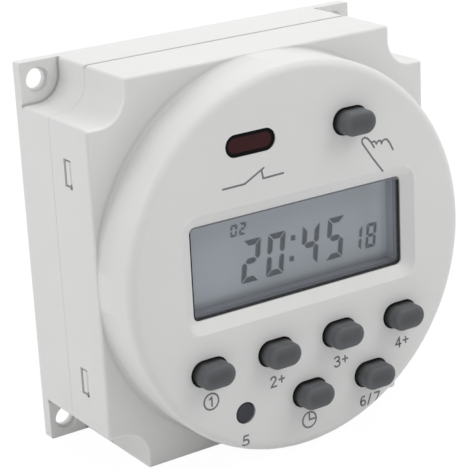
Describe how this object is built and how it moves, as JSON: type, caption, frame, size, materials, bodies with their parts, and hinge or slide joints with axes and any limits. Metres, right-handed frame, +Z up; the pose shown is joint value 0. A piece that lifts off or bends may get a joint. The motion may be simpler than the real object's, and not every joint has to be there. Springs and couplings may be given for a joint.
{
  "type": "digital timer relay",
  "caption": "Square plug-on time switch with screw ears, a round front disc, framed liquid crystal display, rubber keys, red indicator lens and rear blade terminals.",
  "frame": {"origin": "centre of the flat back face", "axes": "+X to the right seen from the front, +Y from the front to the back, +Z up"},
  "size_m": [0.06, 0.0325, 0.06],
  "materials": {
    "housing": "satin white moulding",
    "clear_window": "clear",
    "dark_frame": "matt dark grey",
    "display_glass": "polished",
    "polariser": "grey film",
    "reflector": "satin film",
    "conductive_rubber": "matt",
    "red_lens": "dark red, polished",
    "lamp_resin": "clear red resin",
    "key_rubber": "matt grey",
    "carbon_pill": "matt",
    "mat_rubber": "matt",
    "board": "green solder mask",
    "screw_steel": "plated",
    "black_resin": "moulded resin",
    "plain_steel": "plated",
    "battery_case": "plated case",
    "brass": "tinned or bare",
    "relay_case": "moulded case",
    "bobbin_resin": "moulded",
    "copper_wire": "enamelled winding",
    "contact_metal": "polished",
    "yellow_resin": "cast resin",
    "capacitor_can": "sleeve",
    "resistor_body": "lacquer",
    "blue_resin": "coated disc"
  },
  "bodies": {
    "housing": {"front_shell": "housing", "rear_shell": "housing", "display_window": "clear_window", "lcd_frame": "dark_frame", "indicator_lens": "red_lens", "lcd_front_glass": "display_glass", "lcd_rear_glass": "display_glass", "lcd_polariser": "polariser", "lcd_reflector": "reflector", "upper_zebra_strip": "conductive_rubber", "lower_zebra_strip": "conductive_rubber", "indicator_lamp": "lamp_resin", "key_mat": "mat_rubber", "manual_key_mat": "mat_rubber", "logic_board": "board", "logic_board_screws": "screw_steel", "controller_chip": "black_resin", "clock_crystal": "plain_steel", "backup_battery": "battery_case", "battery_tabs": "plain_steel", "header_strip": "black_resin", "header_pins": "brass", "power_board": "board", "power_board_screws": "screw_steel", "relay_cover": "relay_case", "relay_base": "relay_case", "relay_bobbin": "bobbin_resin", "relay_coil": "copper_wire", "relay_core": "plain_steel", "relay_yoke": "plain_steel", "relay_fixed_contact": "brass", "supply_capacitor": "yellow_resin", "smoothing_capacitor": "capacitor_can", "rectifier_diodes": "black_resin", "bleed_resistor": "resistor_body", "driver_transistor": "black_resin", "varistor": "blue_resin", "supply_line_blade": "brass", "supply_neutral_blade": "brass", "load_neutral_blade": "brass", "load_line_blade": "brass"},
    "program_button": {"program_key": "key_rubber", "program_contact_pill": "carbon_pill"},
    "day_button": {"day_key": "key_rubber", "day_contact_pill": "carbon_pill"},
    "hour_button": {"hour_key": "key_rubber", "hour_contact_pill": "carbon_pill"},
    "minute_button": {"minute_key": "key_rubber", "minute_contact_pill": "carbon_pill"},
    "clock_button": {"clock_key": "key_rubber", "clock_contact_pill": "carbon_pill"},
    "recall_button": {"recall_key": "key_rubber", "recall_contact_pill": "carbon_pill"},
    "manual_button": {"manual_key": "key_rubber", "manual_contact_pill": "carbon_pill"},
    "reset_button": {"reset_key": "key_rubber", "reset_contact_pill": "carbon_pill"},
    "armature": {"relay_armature": "plain_steel", "relay_contact_leaf": "brass", "relay_moving_contact": "contact_metal"}
  },
  "joints": [
    {"name": "program_press", "type": "slide", "parent": "housing", "child": "program_button", "axis": [0, 1, 0], "range_m": [0, 0.001], "stiffness_N_per_m": 900, "springref_m": -0.0004},
    {"name": "day_press", "type": "slide", "parent": "housing", "child": "day_button", "axis": [0, 1, 0], "range_m": [0, 0.001], "stiffness_N_per_m": 900, "springref_m": -0.0004},
    {"name": "hour_press", "type": "slide", "parent": "housing", "child": "hour_button", "axis": [0, 1, 0], "range_m": [0, 0.001], "stiffness_N_per_m": 900, "springref_m": -0.0004},
    {"name": "minute_press", "type": "slide", "parent": "housing", "child": "minute_button", "axis": [0, 1, 0], "range_m": [0, 0.001], "stiffness_N_per_m": 900, "springref_m": -0.0004},
    {"name": "clock_press", "type": "slide", "parent": "housing", "child": "clock_button", "axis": [0, 1, 0], "range_m": [0, 0.001], "stiffness_N_per_m": 900, "springref_m": -0.0004},
    {"name": "recall_press", "type": "slide", "parent": "housing", "child": "recall_button", "axis": [0, 1, 0], "range_m": [0, 0.001], "stiffness_N_per_m": 900, "springref_m": -0.0004},
    {"name": "manual_press", "type": "slide", "parent": "housing", "child": "manual_button", "axis": [0, 1, 0], "range_m": [0, 0.001], "stiffness_N_per_m": 900, "springref_m": -0.0004},
    {"name": "reset_press", "type": "slide", "parent": "housing", "child": "reset_button", "axis": [0, 1, 0], "range_m": [0, 0.001], "stiffness_N_per_m": 500, "springref_m": -0.0004},
    {"name": "armature_hinge", "type": "hinge", "parent": "housing", "child": "armature", "pos_m": [-0.0063, -0.006, 0.0035], "axis": [0, 0, 1], "range_deg": [0, 2.4], "stiffness_Nm_per_rad": 0.05, "springref_deg": -1.15}
  ]
}
